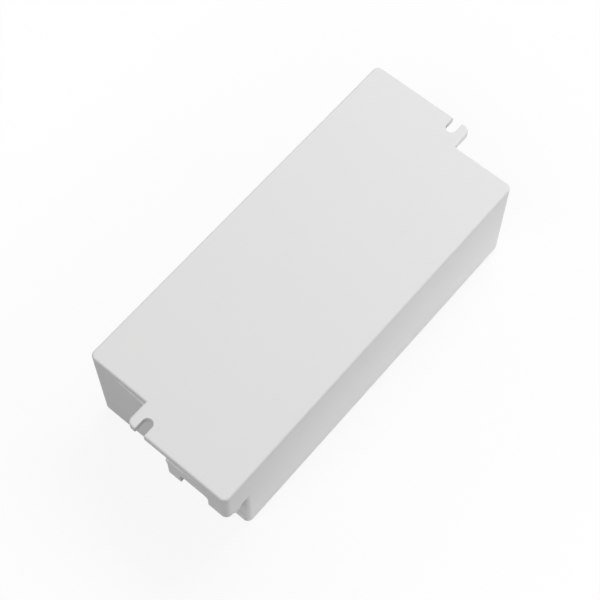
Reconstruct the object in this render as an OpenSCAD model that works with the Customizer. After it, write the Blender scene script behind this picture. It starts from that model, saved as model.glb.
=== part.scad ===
// LED driver in a white plastic case, lying on its front face with the mounting plate up.
// X runs along the case from the input end to the output end, Z points out of the mounting plate.
// The origin is the centre of the front face. All sizes are in millimetres.

/* [Case] */
// Length of the main body, without the end extensions
body_l = 104; // [94:1:124]
// Width of the case
body_w = 50; // [46:1:60]
// Height from the front face to the mounting face
body_h = 32.6; // [29.4:0.2:40]
// Thickness of the case walls
wall_t = 2; // [1.8:0.1:2.4]
// Radius of the free upright corners
corner_r = 1.7; // [1.6:0.1:2.6]
// Radius of the edge round the front face
front_edge_r = 1.5; // [0.8:0.1:1.5]

/* [Mounting plate] */
// Thickness of the mounting plate and its ears
plate_t = 2.1; // [1.9:0.1:2.6]
// Radius of the plate's outer edge
plate_edge_r = 0.6; // [0.4:0.1:1.2]
// How far each half-width extension stands out past the body
ext_l = 6.8; // [6.4:0.1:8.5]
// Width of an extension, from its long side to the ear's inner edge
ext_w = 31.3; // [30.6:0.1:33]
// Width of the open screw slot in each ear
slot_w = 3; // [2.6:0.1:3.4]
// Distance from the extension's long side to the slot's centre line
slot_y = 27.1; // [26.8:0.1:28]
// Distance from the body's end to the round bottom of the slot
slot_gap = 2.4; // [2.2:0.1:3]

/* [Wiring boxes] */
// Width of a wiring box, under its extension
box_w = 19.3; // [19:0.1:19.6]
// Depth of a wiring box, from the mounting face
box_depth = 12.2; // [11.4:0.1:13]
// Width of the cable notch in the box's end wall
notch_w = 8.8; // [8:0.1:9.2]
// Depth of the notch's ceiling, from the mounting face
notch_depth = 7.5; // [7:0.1:8]
// How far the rim of the end walls bows out past the plate
crown_rise = 0.6; // [0.3:0.05:0.8]

/* [Board] */
// Thickness of the circuit board
board_t = 1.6; // [1.2:0.2:1.6]
// Gap between the plate and the board, for the solder joints
solder_gap = 2.3; // [2:0.1:2.6]
// Distance between a terminal's two wire entries
pole_pitch = 5; // [4.8:0.1:5.2]

/* [Hidden] */
$fn = 48;

// Overlap that lets a cut run clear of a face
cut = 1;
// Play between parts that slip together
play = 0.15;
// Radial room round a screw or a lead
lead_play = 0.1;

// Heights of the main levels
rim_z = body_h - plate_t;
board_top_z = rim_z - solder_gap;
board_z = board_top_z - board_t;
box_z = body_h - box_depth;
notch_z = body_h - notch_depth;

// Ends and sides of the main body
end_x = -body_l / 2;
ext_x = end_x - ext_l;
side_y = -body_w / 2;
cavity_l = body_l - 2 * wall_t;
cavity_w = body_w - 2 * wall_t;
cavity_corner_r = 1;

// Mounting slots
slot_r = slot_w / 2;
slot_centre_x = end_x - slot_gap - slot_r;
slot_centre_y = side_y + slot_y;

// Crowned rim of the end walls: a shallow arc of this chord, fading out below the rim
crown_chord = 34;
crown_fade = 6;
crown_r = (crown_chord * crown_chord / 4 + crown_rise * crown_rise) / (2 * crown_rise);
crown_facets = 720;

// Wiring box: the trough, its screw posts and the cable channel between them
box_wall = 1.8;
trough_x = ext_x + box_wall;
trough_l = end_x - trough_x;
trough_mid_x = (trough_x + end_x) / 2;
box_mid_y = side_y + box_w / 2;
post_pitch = 14.4;
post_r = 2.4;
post_rib = 1.6;
post_drop = 1.3;
post_z = box_z - post_drop;
box_corner_r = 0.9;
notch_corner_r = 1.2;
notch_shift = 0.7;

// End wall under a wiring box, set back from the rounded corner and the front edge
recess_depth = 0.45 * wall_t;
recess_side = 0.7;
recess_z = front_edge_r + 0.2;

// Cable clamp bar and its screws
clamp_t = 2.4;
clamp_end = 1.8;
clamp_l = post_pitch + 2 * clamp_end;
clamp_side = 0.3;
clamp_w = trough_l - 2 * clamp_side;
clamp_end_r = 1.6;
ridge_h = 0.4;
ridge_w = 0.8;
ridge_l = 5.4;
ridge_pitch = 2;
clamp_screw_r = 1;
clamp_screw_depth = 6.5;
clamp_head_r = 1.9;
clamp_head_h = 1.5;

// Locating lip, hooks and board posts inside the plate
lip_t = 1.2;
lip_clear = 0.3;
lip_h = solder_gap - lip_clear;
hook_w = 8;
hook_l = 9;
hook_out = 0.7;
hook_rise = 2.4;
hook_pitch = 30;
pocket_deep = 0.9;
pocket_play = 0.3;

// Circuit board and its screws
board_edge = 3.5;
board_l = body_l - 2 * board_edge;
board_side = 3.6;
board_w = body_w - 2 * board_side;
board_corner_r = 1.5;
board_post_r = 3;
board_screw_r = 1.2;
board_screw_depth = 3.2;
board_head_r = 2.3;
board_head_h = 1.8;
screw_end_room = 0.5;
head_dome = 0.2;
cross_l = 2.4;
cross_w = 0.6;
cross_depth = 0.8;
half_board = board_w / 2;
room_h = board_z - wall_t;

// Terminals
term_l = 11;
term_w = 12.4;
term_h = 11.4;
term_set = 0.2;
window_play = 0.25;
entry_r = 1.25;
entry_mouth_r = 1.7;
entry_mouth = 1;
entry_depth = 7.5;
entry_drop = 4.5;
release_w = 2;
release_h = 1;
release_drop = 8;
release_depth = 3;
contact_w = 3.2;
contact_l = 4;
contact_h = 5.6;
contact_t = 0.5;
contact_set = 0.2;
term_lead_x = 7;

// Leads
lead_r = 0.4;
lead_out = 1.4;

// Places on the board: X as a share of the body's length, Y from a side of the board or its centre line
term_x = end_x + term_set;
fuse_at = [-0.332 * body_l, -half_board + 3.2];
varistor_at = [-0.317 * body_l, -half_board + 10.4];
thermistor_at = [-0.327 * body_l, -half_board + 16.9];
filter_cap_at = [-0.418 * body_l, half_board - 17.4];
choke_at = [-0.298 * body_l, half_board - 8.4];
bridge_at = [-0.231 * body_l, -half_board + 18.4];
storage_at = [-0.127 * body_l, half_board - 9];
switch_at = [-0.144 * body_l, -half_board + 4];
transformer_at = [0.077 * body_l, -half_board + 14.6];
safety_at = [0.067 * body_l, half_board - 7.9];
opto_at = [0.077 * body_l, half_board - 3];
chip_at = [-0.012 * body_l, half_board - 6.4];
diode_at = [0.288 * body_l, -half_board + 4];
output_cap_at = [0.255 * body_l, -half_board + 24.15];
output_cap_pitch = 11.5;
output_choke_at = [0.356 * body_l, -half_board + 22.4];
board_screw_at = [
    [end_x + 8, half_board - 3.6], [-end_x - 8, -half_board + 3.6],
    [-0.262 * body_l, -half_board + 3.6], [0.178 * body_l, half_board - 3.6]
];
resistor_at = [
    [0.348 * body_l, -half_board + 13.4, 0], [0.348 * body_l, half_board - 7.4, 90],
    [0.433 * body_l, -half_board + 16.9, 90]
];

// Fuse
fuse_size = [8.4, 4.3, 8];
fuse_corner_r = 0.8;
fuse_leads = [[-2.5, 0], [2.5, 0]];

// Round coated discs
disc_stand = 1.2;
varistor_r = 5.5;
varistor_t = 4.2;
thermistor_r = 4.5;
thermistor_t = 4;
safety_r = 4.5;
safety_t = 4;
disc_leads = [[-2.5, 0], [2.5, 0]];

// Boxed film capacitor
film_size = [6, 13, 12];
film_corner_r = 0.6;
film_stand = 0.4;
film_leads = [[0, -5], [0, 5]];

// Ring choke with two windings
ring_r = 6.5;
ring_bore_r = 3.4;
ring_h = 6;
ring_stand = 1.3;
ring_turns = 5;
ring_turn_step = 21;
wire_r = 0.4;
wire_gap = 0.1;
choke_leads = [[-5, -5], [-5, 5], [5, -5], [5, 5]];

// Bridge rectifier
bridge_size = [3.6, 15, 11];
bridge_stand = 1;
bridge_leads = [[0, -5.7], [0, -1.9], [0, 1.9], [0, 5.7]];

// Upright can capacitors
can_groove = 0.5;
can_groove_z = 2.6;
can_edge_r = 0.8;
can_vent_w = 0.5;
can_vent_depth = 0.3;
storage_r = 8;
storage_h = room_h - 3.9;
storage_leads = [[-3.75, 0], [3.75, 0]];
output_can_r = 5;
output_can_h = room_h - 5.9;
output_can_leads = [[-2.5, 0], [2.5, 0]];

// Power devices and their heatsinks
sink_size = [16.4, 3.2, room_h - 4.9];
fin_t = 1;
fin_depth = 1.4;
fin_pitch = 3;
fins = 5;
tab_t = 1.3;
tab_set = 0.3;
device_stand = 3.2;
tab_size = [10, sink_size[2] - tab_set - device_stand];
case_share = 0.55;
case_size = [10, 3.2, case_share * tab_size[1]];
device_hole_drop = 2.8;
device_hole_z = sink_size[2] - device_hole_drop;
device_hole_r = 1.8;
device_leads = [[-2.54, 0], [0, 0], [2.54, 0]];
device_lead_y = 2.4;
sink_screw_r = 1.4;
sink_screw_depth = 2.4;
sink_head_r = 2.6;
sink_head_h = 1.8;
sink_lead_y = -1.6;
sink_lead_x = 6.4;
sink_leads = [[-sink_lead_x, sink_lead_y], [sink_lead_x, sink_lead_y]];

// Transformer
core_w = 8;
core_span = 26;
core_leg = 2.6;
core_yoke = 3.6;
core_h = room_h - 2.9;
core_stand = 0.3;
centre_leg_r = 4;
tube_r = 5;
tube_play = 0.15;
flange_t = 1;
flange_w = 20;
rail_w = 4.6;
rail_h = 4.2;
rail_l = 19;
coil_r = 9;
bobbin_span = 20;
transformer_lead_pitch = 5;
transformer_leads = [for (side = [-1, 1]) for (i = [-1.5 : 1 : 1.5])
    [side * 7.7, i * transformer_lead_pitch]];

// Small integrated parts
opto_size = [6.4, 4.6, 3.4];
opto_stand = 0.5;
opto_reach = 3.81;
opto_row = 1.27;
opto_leads = [for (x = [-opto_reach, opto_reach], y = [-opto_row, opto_row]) [x, y]];
chip_size = [4, 5, 1.5];
chip_stand = 0.15;
foot_size = [1, 0.4, 0.2];
foot_pitch = 1.27;

// Drum choke
drum_r = 5;
drum_flange = 1.6;
drum_neck_r = 2.6;
drum_h = room_h / 2;
drum_coil_r = 4.6;
drum_leads = [[0, -3], [0, 3]];

// Resistors
resistor_r = 1.2;
resistor_waist_r = 1.05;
resistor_cap = 1.4;
resistor_l = 6.3;
resistor_leads = [[-5, 0], [5, 0]];

function turned(p, turn) = [p[0] * cos(turn) - p[1] * sin(turn), p[0] * sin(turn) + p[1] * cos(turn)];

function placed(leads, at, turn = 0) =
    [for (p = leads) [at[0] + turned(p, turn)[0], at[1] + turned(p, turn)[1]]];

function output_cap_places() =
    [for (side = [-0.5, 0.5]) [output_cap_at[0], output_cap_at[1] + side * output_cap_pitch]];

function terminal_leads() =
    [for (side = [-0.5, 0.5]) [term_x + term_lead_x, box_mid_y + side * pole_pitch]];

function half_turned(points) = [for (p = points) [-p[0], -p[1]]];

// Every lead that passes through the board
function all_leads() = concat(
    terminal_leads(), half_turned(terminal_leads()),
    placed(fuse_leads, fuse_at),
    placed(disc_leads, varistor_at), placed(disc_leads, thermistor_at), placed(disc_leads, safety_at),
    placed(film_leads, filter_cap_at), placed(choke_leads, choke_at),
    placed(bridge_leads, bridge_at), placed(storage_leads, storage_at),
    placed(device_leads, [switch_at[0], switch_at[1] + device_lead_y]),
    placed(device_leads, [diode_at[0], diode_at[1] + device_lead_y]),
    placed(sink_leads, switch_at), placed(sink_leads, diode_at),
    placed(transformer_leads, transformer_at), placed(opto_leads, opto_at),
    placed(output_can_leads, output_cap_places()[0]), placed(output_can_leads, output_cap_places()[1]),
    placed(drum_leads, output_choke_at),
    [for (r = resistor_at) each placed(resistor_leads, r, r[2])]
);

// Puts a part that stands on z = 0 onto the component side of the board, which faces down
module on_board(at, turn = 0) {
    translate([at[0], at[1], board_z]) mirror([0, 0, 1]) rotate(-turn) children();
}

// Repeats what is made for the input end at the output end, half a turn round
module both_ends() {
    children();
    rotate(180) children();
}

// Leads of a part that stands on z = 0, reaching through the board
module leads(places, up = 0) {
    for (p = places)
        translate([p[0], p[1], -board_t - lead_out]) cylinder(r = lead_r, h = board_t + lead_out + up);
}

// Flat outline with round corners, centred
module round_rect(l, w, r) {
    square([l - 2 * r, w], center = true);
    square([l, w - 2 * r], center = true);
    for (sx = [-1, 1], sy = [-1, 1])
        translate([sx * (l / 2 - r), sy * (w / 2 - r)]) circle(r);
}

// Half section of a wall's foot: upright outside, quarter round at the bottom
module foot_section(reach, h, edge_r) {
    inset = reach - edge_r;
    polygon([[0, 0], [inset, 0], [inset, edge_r], [reach, edge_r], [reach, h], [0, h]]);
    intersection() {
        translate([inset, edge_r]) circle(edge_r);
        translate([inset, 0]) square(edge_r);
    }
}

// Block standing on z = 0 with round upright corners and a rounded edge round its bottom
module soft_block(l, w, h, r, edge_r) {
    ax = l / 2 - r;
    ay = w / 2 - r;
    translate([-ax, -ay, 0]) cube([2 * ax, 2 * ay, h]);
    for (q = [[ax, ay, 0], [-ax, ay, 90], [-ax, -ay, 180], [ax, -ay, 270]])
        translate([q[0], q[1], 0]) rotate(q[2]) rotate_extrude(angle = 90) foot_section(r, h, edge_r);
    for (turn = [0, 180]) {
        rotate(turn) translate([ax, ay, 0]) rotate([90, 0, 0])
            linear_extrude(2 * ay) foot_section(r, h, edge_r);
        rotate(turn + 90) translate([ay, ax, 0]) rotate([90, 0, 0])
            linear_extrude(2 * ax) foot_section(r, h, edge_r);
    }
}

// Pan-head screw with a cross recess: the head's seat is z = 0, the shank runs up
module pan_screw(shank_r, shank_l, head_r, head_h) {
    difference() {
        union() {
            cylinder(r = shank_r, h = shank_l);
            rotate_extrude() intersection() {
                translate([0, -head_h]) square([head_r, head_h]);
                translate([0, head_r - head_h + head_dome]) circle(head_r + head_dome);
            }
        }
        for (turn = [0, 90])
            rotate(turn) translate([-cross_l / 2, -cross_w / 2, -head_h - cut])
                cube([cross_l, cross_w, cut + cross_depth]);
    }
}

// One strip of the mounting plate, from the extension at one end to the recess at the other
module plate_strip() {
    strip_l = body_l + ext_l;
    translate([(ext_x - end_x) / 2, side_y + ext_w / 2, body_h]) mirror([0, 0, 1])
        soft_block(strip_l, ext_w, plate_t, corner_r, plate_edge_r);
}

// Screw slot of the input end's ear, open at the tip
module ear_slot() {
    slot_h = plate_t + 2 * cut;
    translate([slot_centre_x, slot_centre_y, rim_z - cut]) {
        cylinder(r = slot_r, h = slot_h);
        translate([-ext_l, -slot_r, 0]) cube([ext_l, slot_w, slot_h]);
    }
}

// Lip under the plate that locates it in the housing
module locating_lip() {
    lip_l = cavity_l - 2 * play;
    lip_w = cavity_w - 2 * play;
    translate([0, 0, rim_z - lip_h]) linear_extrude(lip_h) difference() {
        round_rect(lip_l, lip_w, cavity_corner_r);
        square([lip_l - 2 * lip_t, lip_w - 2 * lip_t], center = true);
    }
}

// Snap hook on the input side's long wall, hanging from the plate
module snap_hook() {
    face_y = -cavity_w / 2 + play;
    translate([-hook_w / 2, 0, rim_z]) rotate([90, 0, 90]) linear_extrude(hook_w) polygon([
        [face_y, 0], [face_y, hook_rise - hook_l], [face_y - hook_out, hook_rise - hook_l],
        [face_y, -hook_l], [face_y + lip_t, -hook_l], [face_y + lip_t, 0]
    ]);
}

// Places for the snap hooks along one long wall
module along_wall() {
    for (i = [-1 : 1])
        translate([i * hook_pitch, 0, 0]) children();
}

module base_plate() {
    color("whitesmoke") difference() {
        union() {
            both_ends() plate_strip();
            locating_lip();
            both_ends() along_wall() snap_hook();
            for (p = board_screw_at)
                translate([p[0], p[1], board_top_z]) cylinder(r = board_post_r, h = solder_gap);
        }
        both_ends() ear_slot();
        for (p = board_screw_at)
            translate([p[0], p[1], board_top_z - cut])
                cylinder(r = board_screw_r + lead_play, h = cut + board_screw_depth);
    }
}

// Shallow bow of an end wall's rim, fading into the wall below it
module crowned_rim(x, y_low, y_high) {
    intersection() {
        translate([x, 0, rim_z]) rotate([0, -atan(crown_rise / crown_fade), 0])
            translate([crown_r - crown_rise, 0, -2 * crown_fade])
                cylinder(r = crown_r, h = 4 * crown_fade, $fn = crown_facets);
        translate([x - cut, y_low, rim_z - crown_fade - cut])
            cube([cut + wall_t / 2, y_high - y_low, crown_fade + cut]);
    }
}

// Set-back part of the input end's wall, under the wiring box
module end_recess() {
    translate([end_x - cut, side_y + recess_side, recess_z])
        cube([cut + recess_depth, box_w - 2 * recess_side, box_z - recess_z]);
}

// Outside of the wiring box at the input end
module wiring_box_outside() {
    reach = ext_l + corner_r + wall_t / 2;
    translate([ext_x + reach / 2, 0, box_z]) linear_extrude(rim_z - box_z) {
        translate([0, side_y + box_w / 2 - box_corner_r])
            round_rect(reach, box_w - 2 * box_corner_r, corner_r);
        translate([0, side_y + box_w * 3 / 4]) round_rect(reach, box_w / 2, box_corner_r);
    }
    crowned_rim(ext_x, -crown_chord / 2, side_y + box_w - box_corner_r);
}

// Room inside the wiring box, with the screw posts left standing
module wiring_box_inside() {
    difference() {
        translate([trough_x, side_y + wall_t, box_z - cut])
            cube([trough_l, box_w - 2 * wall_t, rim_z - box_z + 2 * cut]);
        for (side = [-0.5, 0.5])
            translate([trough_mid_x, box_mid_y + side * post_pitch, box_z - 2 * cut]) {
                cylinder(r = post_r, h = rim_z - box_z + 4 * cut);
                translate([-trough_l, -post_rib / 2, 0])
                    cube([2 * trough_l, post_rib, rim_z - box_z + 4 * cut]);
            }
    }
    translate([ext_x - cut, box_mid_y + notch_shift, box_z]) rotate([90, 0, 90])
        linear_extrude(box_wall + 2 * cut)
        notch_outline();
}

// Cable notch, open at the bottom, with round corners under its ceiling
module notch_outline() {
    ceiling = notch_z - box_z;
    translate([-notch_w / 2, -cut]) square([notch_w, ceiling + cut - notch_corner_r]);
    translate([notch_corner_r - notch_w / 2, 0]) square([notch_w - 2 * notch_corner_r, ceiling]);
    for (side = [-1, 1])
        translate([side * (notch_w / 2 - notch_corner_r), ceiling - notch_corner_r]) circle(notch_corner_r);
}

// Foot of a screw post, below the wiring box's edge, and its pilot hole
module post_foot(side) {
    translate([trough_mid_x, box_mid_y + side * post_pitch, post_z])
        cylinder(r = post_r - play, h = box_z - post_z);
}

module post_pilot(side) {
    translate([trough_mid_x, box_mid_y + side * post_pitch, post_z - cut])
        cylinder(r = clamp_screw_r + lead_play, h = cut + clamp_screw_depth + lead_play);
}

// Window in the input end's wall for the terminal's face
module terminal_window() {
    translate([end_x - cut, box_mid_y - term_w / 2 - window_play, board_z - term_h - window_play])
        cube([wall_t + 2 * cut, term_w + 2 * window_play, term_h + 2 * window_play]);
}

// Blind pocket in a long wall for a snap hook
module hook_pocket() {
    pocket_l = hook_w + 2 * pocket_play;
    translate([-pocket_l / 2, -cavity_w / 2 - pocket_deep, rim_z - hook_l - pocket_play])
        cube([pocket_l, pocket_deep + cut, hook_rise + 2 * pocket_play]);
}

module housing() {
    color("white") difference() {
        union() {
            soft_block(body_l, body_w, rim_z, corner_r, front_edge_r);
            both_ends() wiring_box_outside();
            both_ends() crowned_rim(end_x, -crown_chord / 2, crown_chord / 2);
            both_ends() for (side = [-0.5, 0.5]) post_foot(side);
        }
        translate([0, 0, wall_t]) linear_extrude(body_h) round_rect(cavity_l, cavity_w, cavity_corner_r);
        both_ends() wiring_box_inside();
        both_ends() end_recess();
        both_ends() terminal_window();
        both_ends() for (side = [-0.5, 0.5]) post_pilot(side);
        both_ends() along_wall() hook_pocket();
    }
}

module circuit_board() {
    color("darkgreen") difference() {
        translate([0, 0, board_z]) linear_extrude(board_t) round_rect(board_l, board_w, board_corner_r);
        for (p = board_screw_at)
            translate([p[0], p[1], board_z - cut])
                cylinder(r = board_screw_r + lead_play, h = board_t + 2 * cut);
        for (p = all_leads())
            translate([p[0], p[1], board_z - cut])
                cylinder(r = lead_r + lead_play, h = board_t + 2 * cut);
    }
}

module board_screws() {
    shank_l = board_t + board_screw_depth - screw_end_room;
    color("silver") for (p = board_screw_at)
        translate([p[0], p[1], board_z]) pan_screw(board_screw_r, shank_l, board_head_r, board_head_h);
}

// Push-in terminal of the input end: a block with two funnelled wire entries and two release slots
module terminal_block() {
    cell = [contact_l + 2 * contact_set, contact_w + 2 * contact_set, contact_h + contact_set];
    difference() {
        translate([term_x, box_mid_y - term_w / 2, board_z - term_h]) cube([term_l, term_w, term_h]);
        for (side = [-0.5, 0.5])
            translate([term_x, box_mid_y + side * pole_pitch, 0]) {
                translate([0, 0, board_z - entry_drop]) rotate([0, 90, 0]) wire_entry();
                translate([-cut, -release_w / 2, board_z - release_drop - release_h])
                    cube([cut + release_depth, release_w, release_h]);
                translate([term_lead_x - cell[0] / 2, -cell[1] / 2, board_z - cell[2]])
                    cube([cell[0], cell[1], cell[2] + cut]);
            }
    }
}

// Wire entry along +Z from its mouth at z = 0
module wire_entry() {
    translate([0, 0, -cut]) cylinder(r = entry_r, h = cut + entry_depth);
    cylinder(r1 = entry_mouth_r, r2 = entry_r, h = entry_mouth);
    translate([0, 0, -cut]) cylinder(r = entry_mouth_r, h = cut);
}

module input_terminal() {
    color("lightgray") terminal_block();
}

module output_terminal() {
    color("lightgray") rotate(180) terminal_block();
}

// Spring cage of one pole, open toward the wire, with its lead through the board
module contact_cage() {
    on_board([0, 0]) {
        translate([-contact_l / 2, -contact_w / 2, 0]) difference() {
            cube([contact_l, contact_w, contact_h]);
            translate([-cut, contact_t, contact_t])
                cube([contact_l + 2 * cut, contact_w - 2 * contact_t, contact_h - 2 * contact_t]);
        }
        leads([[0, 0]], contact_t / 2);
    }
}

module terminal_contacts() {
    color("goldenrod") both_ends() for (p = terminal_leads())
        translate([p[0], p[1], 0]) contact_cage();
}

// Clamp bar across the input cable, with grip ridges facing the cable
module clamp_bar() {
    bar_z = post_z - clamp_t;
    difference() {
        union() {
            translate([trough_mid_x, box_mid_y, bar_z])
                linear_extrude(clamp_t) round_rect(clamp_w, clamp_l, clamp_end_r);
            for (i = [-0.5, 0.5])
                translate([trough_mid_x + i * ridge_pitch, box_mid_y, post_z])
                    cube([ridge_w, ridge_l, 2 * ridge_h], center = true);
        }
        for (side = [-0.5, 0.5])
            translate([trough_mid_x, box_mid_y + side * post_pitch, bar_z - cut])
                cylinder(r = clamp_screw_r + lead_play, h = clamp_t + 2 * cut);
    }
}

module input_cable_clamp() {
    color("gainsboro") clamp_bar();
}

module output_cable_clamp() {
    color("gainsboro") rotate(180) clamp_bar();
}

module clamp_screws() {
    shank_l = clamp_t + clamp_screw_depth - screw_end_room;
    color("silver") both_ends() for (side = [-0.5, 0.5])
        translate([trough_mid_x, box_mid_y + side * post_pitch, post_z - clamp_t])
            pan_screw(clamp_screw_r, shank_l, clamp_head_r, clamp_head_h);
}

module fuse() {
    color("saddlebrown") on_board(fuse_at) {
        linear_extrude(fuse_size[2]) round_rect(fuse_size[0], fuse_size[1], fuse_corner_r);
        leads(fuse_leads, cut);
    }
}

// Coated disc on two leads, standing on edge across Y
module coated_disc(r, t) {
    translate([0, 0, disc_stand + r]) rotate([90, 0, 0]) rotate_extrude() {
        translate([0, -t / 2]) square([r - t / 4, t]);
        translate([0, -t / 4]) square([r, t / 2]);
        for (side = [-1, 1])
            translate([r - t / 4, side * t / 4]) circle(t / 4);
    }
    leads(disc_leads, disc_stand + r / 2);
}

module varistor() {
    color("steelblue") on_board(varistor_at) coated_disc(varistor_r, varistor_t);
}

module thermistor() {
    color("darkslategray") on_board(thermistor_at) coated_disc(thermistor_r, thermistor_t);
}

module safety_capacitor() {
    color("royalblue") on_board(safety_at) coated_disc(safety_r, safety_t);
}

module filter_capacitor() {
    color("khaki") on_board(filter_cap_at) {
        difference() {
            linear_extrude(film_size[2]) round_rect(film_size[0], film_size[1], film_corner_r);
            translate([0, 0, -cut]) linear_extrude(cut + film_stand)
                square([film_size[0] + 2 * cut, film_size[1] - 2 * cut], center = true);
        }
        leads(film_leads, film_stand + cut);
    }
}

module filter_choke_core() {
    color("dimgray") on_board(choke_at) translate([0, 0, ring_stand]) difference() {
        cylinder(r = ring_r, h = ring_h);
        translate([0, 0, -cut]) cylinder(r = ring_bore_r, h = ring_h + 2 * cut);
    }
}

// One turn of wire round the ring's section, at the +X side
module ring_turn() {
    inner_l = ring_r - ring_bore_r + 2 * wire_gap;
    inner_h = ring_h + 2 * wire_gap;
    wire = 2 * wire_r;
    translate([(ring_r + ring_bore_r) / 2, 0, ring_stand + ring_h / 2]) difference() {
        cube([inner_l + 2 * wire, wire, inner_h + 2 * wire], center = true);
        cube([inner_l, wire + cut, inner_h], center = true);
    }
}

// Four feet at the ends of the two windings, which carry the ring
module ring_feet() {
    for (p = choke_leads)
        translate([p[0], p[1], -board_t - lead_out])
            cylinder(r = lead_r, h = board_t + lead_out + ring_stand);
}

module filter_choke_windings() {
    color("chocolate") on_board(choke_at) {
        for (half = [0, 180], i = [0 : ring_turns - 1])
            rotate(half + (i - (ring_turns - 1) / 2) * ring_turn_step) ring_turn();
        ring_feet();
    }
}

module bridge_rectifier() {
    color("#222222") on_board(bridge_at) {
        translate([-bridge_size[0] / 2, -bridge_size[1] / 2, bridge_stand]) cube(bridge_size);
        leads(bridge_leads, bridge_stand + cut);
    }
}

// Upright can with a crimped groove, a rounded shoulder and a cross-scored vent
module can(r, h) {
    difference() {
        rotate_extrude() difference() {
            union() {
                square([r - can_edge_r, h]);
                square([r, h - can_edge_r]);
                translate([r - can_edge_r, h - can_edge_r]) circle(can_edge_r);
            }
            translate([r + can_groove / 2, can_groove_z]) circle(can_groove);
        }
        for (turn = [0, 90])
            rotate(turn) translate([-r / 2, -can_vent_w / 2, h - can_vent_depth])
                cube([r, can_vent_w, cut]);
    }
}

module storage_capacitor() {
    color("#2b2b38") on_board(storage_at) {
        can(storage_r, storage_h);
        leads(storage_leads, cut);
    }
}

module output_capacitors() {
    color("#2b2b38") for (p = output_cap_places())
        on_board(p) {
            can(output_can_r, output_can_h);
            leads(output_can_leads, cut);
        }
}

// Power device with its metal tab against the heatsink's face at y = 0
module power_device() {
    difference() {
        translate([-tab_size[0] / 2, 0, device_stand]) cube([tab_size[0], tab_t, tab_size[1]]);
        translate([0, -cut, device_hole_z]) rotate([-90, 0, 0])
            cylinder(r = device_hole_r, h = tab_t + 2 * cut);
    }
    translate([-case_size[0] / 2, tab_t, device_stand]) cube(case_size);
    for (p = device_leads)
        translate([p[0], device_lead_y, -board_t - lead_out])
            cylinder(r = lead_r, h = board_t + lead_out + device_stand + cut);
}

// Finned plate standing behind a power device, with two leads that hold it to the board
module heatsink() {
    difference() {
        translate([-sink_size[0] / 2, -sink_size[1], 0]) cube(sink_size);
        for (i = [-(fins - 1) / 2 : (fins - 1) / 2])
            translate([i * fin_pitch - (fin_pitch - fin_t) / 2, -sink_size[1] - cut, cut])
                cube([fin_pitch - fin_t, fin_depth + cut, sink_size[2]]);
        translate([0, -sink_size[1] - cut, device_hole_z]) rotate([-90, 0, 0])
            cylinder(r = sink_screw_r + lead_play, h = sink_size[1] + 2 * cut);
    }
    leads(sink_leads, cut);
}

// Placed with the device side toward the board's middle; the mirrored board side keeps Y as it is
module power_switch() {
    color("#262626") on_board(switch_at) power_device();
}

module switch_heatsink() {
    color("silver") on_board(switch_at) heatsink();
}

module output_diode() {
    color("#262626") on_board(diode_at) power_device();
}

module diode_heatsink() {
    color("silver") on_board(diode_at) heatsink();
}

module heatsink_screws() {
    color("lightsteelblue") for (at = [switch_at, diode_at])
        on_board(at) translate([0, tab_t, device_hole_z]) rotate([90, 0, 0])
            pan_screw(sink_screw_r, tab_t + sink_screw_depth, sink_head_r, sink_head_h);
}

// Two E halves as one closed core: yokes, outer legs and a round centre leg
module transformer_core() {
    color("#3a3a3a") on_board(transformer_at) translate([0, 0, core_stand]) {
        for (z = [0, core_h - core_yoke])
            translate([-core_w / 2, -core_span / 2, z]) cube([core_w, core_span, core_yoke]);
        for (side = [-1, 1])
            translate([-core_w / 2, side * (core_span - core_leg) / 2 - core_leg / 2, 0])
                cube([core_w, core_leg, core_h]);
        cylinder(r = centre_leg_r, h = core_h);
    }
}

module transformer_bobbin() {
    window_low = core_stand + core_yoke + play;
    window_high = core_stand + core_h - core_yoke - play;
    color("#1f2b24") on_board(transformer_at) {
        difference() {
            union() {
                for (z = [window_low, window_high - flange_t])
                    translate([-flange_w / 2, -bobbin_span / 2, z]) cube([flange_w, bobbin_span, flange_t]);
                translate([0, 0, window_low]) cylinder(r = tube_r, h = window_high - window_low);
            }
            cylinder(r = centre_leg_r + tube_play, h = 2 * core_h);
        }
        for (side = [-1, 1])
            translate([side * (flange_w - rail_w) / 2 - rail_w / 2, -rail_l / 2, 0])
                cube([rail_w, rail_l, rail_h]);
        leads(transformer_leads, cut);
    }
}

module transformer_winding() {
    low = core_stand + core_yoke + play + flange_t;
    high = core_stand + core_h - core_yoke - play - flange_t;
    color("gold") on_board(transformer_at) translate([0, 0, low]) difference() {
        cylinder(r = coil_r, h = high - low);
        translate([0, 0, -cut]) cylinder(r = tube_r, h = core_h);
    }
}

module optocoupler() {
    shoulder_z = opto_stand + opto_size[2] / 2;
    color("#2a2a2a") on_board(opto_at) {
        translate([-opto_size[0] / 2, -opto_size[1] / 2, opto_stand]) cube(opto_size);
        for (y = [-opto_row, opto_row])
            translate([0, y, shoulder_z])
                cube([2 * opto_reach + 2 * lead_r, 2 * lead_r, 2 * foot_size[2]], center = true);
        leads(opto_leads, shoulder_z);
    }
}

module control_chip() {
    color("#222222") on_board(chip_at) {
        translate([-chip_size[0] / 2, -chip_size[1] / 2, chip_stand]) cube(chip_size);
        for (side = [-1, 1], i = [-1.5 : 1 : 1.5])
            translate([side * chip_size[0] / 2 - foot_size[0] / 2, i * foot_pitch - foot_size[1] / 2, 0])
                cube([foot_size[0], foot_size[1], foot_size[2]]);
    }
}

module output_choke_core() {
    color("#333333") on_board(output_choke_at) {
        cylinder(r = drum_r, h = drum_flange);
        cylinder(r = drum_neck_r, h = drum_h);
        translate([0, 0, drum_h - drum_flange]) cylinder(r = drum_r, h = drum_flange);
    }
}

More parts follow.
